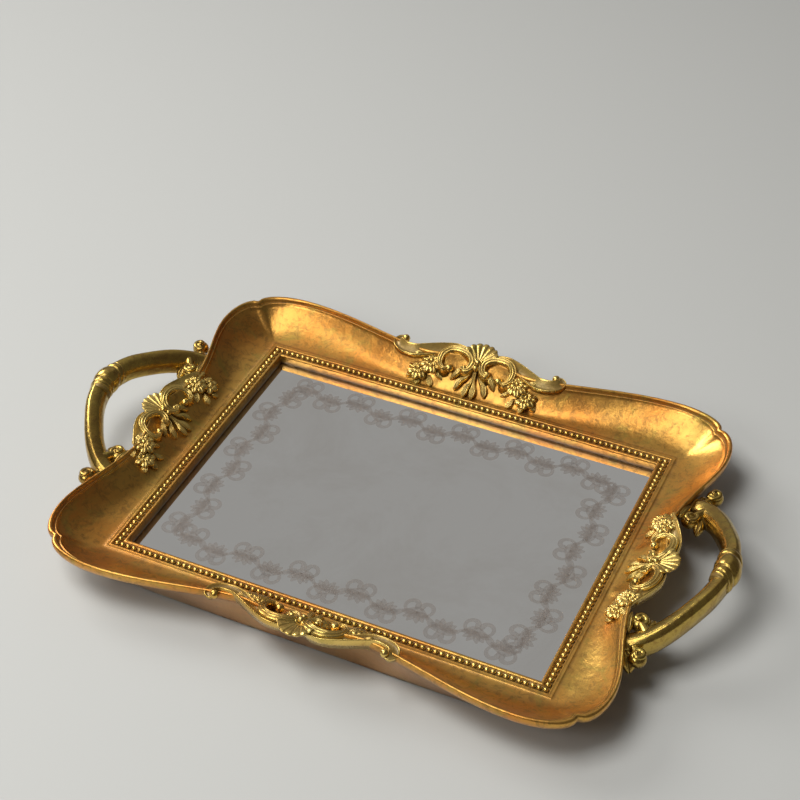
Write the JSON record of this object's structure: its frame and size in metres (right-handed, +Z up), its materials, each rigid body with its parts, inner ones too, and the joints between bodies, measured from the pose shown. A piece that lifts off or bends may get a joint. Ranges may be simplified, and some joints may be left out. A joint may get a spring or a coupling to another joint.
{
  "type": "vanity tray",
  "caption": "Rectangular mirror tray with a scooped gilt rim, beaded ledge, shell and scroll crests on each side, and a bound loop handle at each end",
  "frame": {"origin": "Centre of the felt underside, on the table, below the middle of the mirror", "axes": "+X runs from handle to handle, +Y runs to the back long side, +Z up out of the mirror"},
  "size_m": [0.3814, 0.2494, 0.0439],
  "materials": {
    "frame_gilding": "antique gold leaf over a red-brown ground on cast resin, worn and patchy",
    "ornament_gilding": "pale antique gold with dark umber wash in the hollows, on cast resin",
    "handle_gilding": "antique gold with dark umber wash on cast resin, brighter on the ridges",
    "mirror": "silvered glass with a faint printed lace border",
    "cushion_foam": "thin soft foam sheet",
    "backing_board": "plain hardboard",
    "base_felt": "dense dark felt",
    "fixing_steel": "plain zinc-plated steel"
  },
  "bodies": {
    "root": {"backing_board": "backing_board", "base_felt": "base_felt", "beading_back": "ornament_gilding", "beading_front": "ornament_gilding", "beading_left": "ornament_gilding", "beading_right": "ornament_gilding", "board_screw_back_left": "fixing_steel", "board_screw_back_right": "fixing_steel", "board_screw_front_left": "fixing_steel", "board_screw_front_right": "fixing_steel", "board_screw_left": "fixing_steel", "board_screw_right": "fixing_steel", "crest_back": "ornament_gilding", "crest_front": "ornament_gilding", "crest_left": "ornament_gilding", "crest_right": "ornament_gilding", "dowel_left_back": "fixing_steel", "dowel_left_front": "fixing_steel", "dowel_right_back": "fixing_steel", "dowel_right_front": "fixing_steel", "frame_casting": "frame_gilding", "handle_collar_left": "handle_gilding", "handle_collar_right": "handle_gilding", "handle_left": "handle_gilding", "handle_right": "handle_gilding", "mirror_cushion": "cushion_foam", "mirror_glass": "mirror", "spray_back_left": "ornament_gilding", "spray_back_right": "ornament_gilding", "spray_front_left": "ornament_gilding", "spray_front_right": "ornament_gilding", "spray_left_left": "ornament_gilding", "spray_left_right": "ornament_gilding", "spray_right_left": "ornament_gilding", "spray_right_right": "ornament_gilding"}
  },
  "joints": []
}
